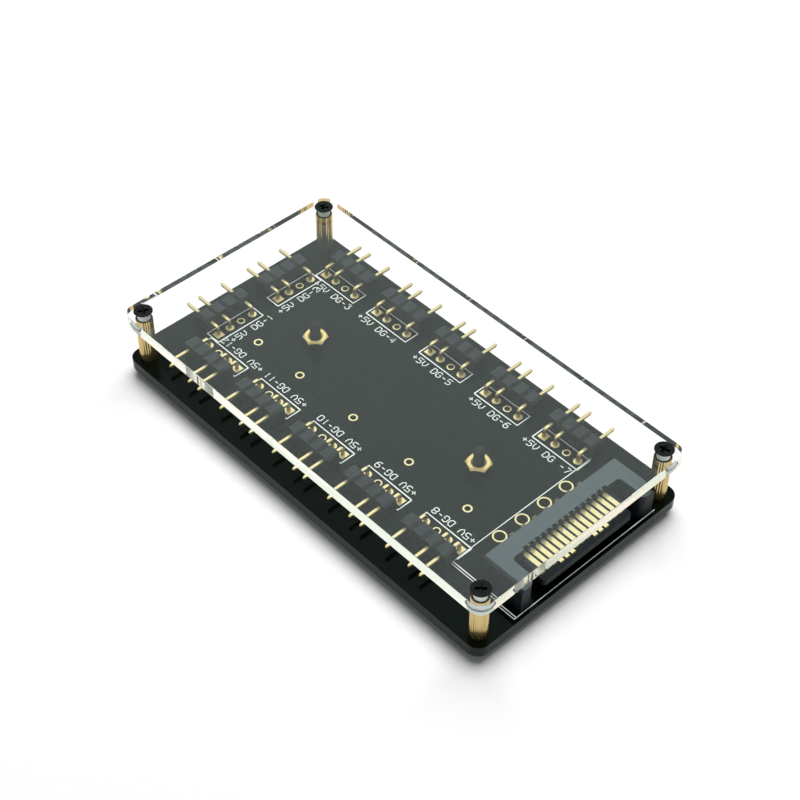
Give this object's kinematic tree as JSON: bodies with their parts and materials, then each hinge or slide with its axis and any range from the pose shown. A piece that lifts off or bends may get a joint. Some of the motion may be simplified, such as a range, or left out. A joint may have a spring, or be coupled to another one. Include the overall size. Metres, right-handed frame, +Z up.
{
  "type": "rgb lighting hub",
  "caption": "Addressable-lighting splitter board with right-angle pin headers, a power plug at one end and a clear cover on brass standoffs.",
  "frame": {"origin": "middle of the whole part's box, at the undersides of the screw heads it stands on", "axes": "+X along the board's length to the power plug, +Y across to the left row of headers, +Z up"},
  "size_m": [0.087, 0.047, 0.0143],
  "materials": {
    "mask_black": "satin",
    "clear_acrylic": "polished",
    "brass": "machined",
    "black_steel": "satin",
    "header_black": "moulded",
    "plug_black": "moulded",
    "gold_plating": "bright",
    "print_white": "flat",
    "solder": "bright"
  },
  "bodies": {
    "root": {"circuit_board": "mask_black", "clear_cover": "clear_acrylic", "standoff_rear_left": "brass", "standoff_rear_right": "brass", "standoff_front_left": "brass", "standoff_front_right": "brass", "cover_screw_rear_left": "black_steel", "cover_screw_rear_right": "black_steel", "cover_screw_front_left": "black_steel", "cover_screw_front_right": "black_steel", "foot_screw_rear_left": "black_steel", "foot_screw_rear_right": "black_steel", "foot_screw_front_left": "black_steel", "foot_screw_front_right": "black_steel", "centre_screw_rear": "black_steel", "centre_screw_front": "black_steel", "centre_nut_rear": "brass", "centre_nut_front": "brass", "header_body_01": "header_black", "header_body_02": "header_black", "header_body_03": "header_black", "header_body_04": "header_black", "header_body_05": "header_black", "header_body_06": "header_black", "header_body_07": "header_black", "header_body_08": "header_black", "header_body_09": "header_black", "header_body_10": "header_black", "header_body_11": "header_black", "header_body_12": "header_black", "header_pins_01": "gold_plating", "header_pins_02": "gold_plating", "header_pins_03": "gold_plating", "header_pins_04": "gold_plating", "header_pins_05": "gold_plating", "header_pins_06": "gold_plating", "header_pins_07": "gold_plating", "header_pins_08": "gold_plating", "header_pins_09": "gold_plating", "header_pins_10": "gold_plating", "header_pins_11": "gold_plating", "header_pins_12": "gold_plating", "power_plug_housing": "plug_black", "power_plug_contacts": "gold_plating"}
  },
  "joints": []
}
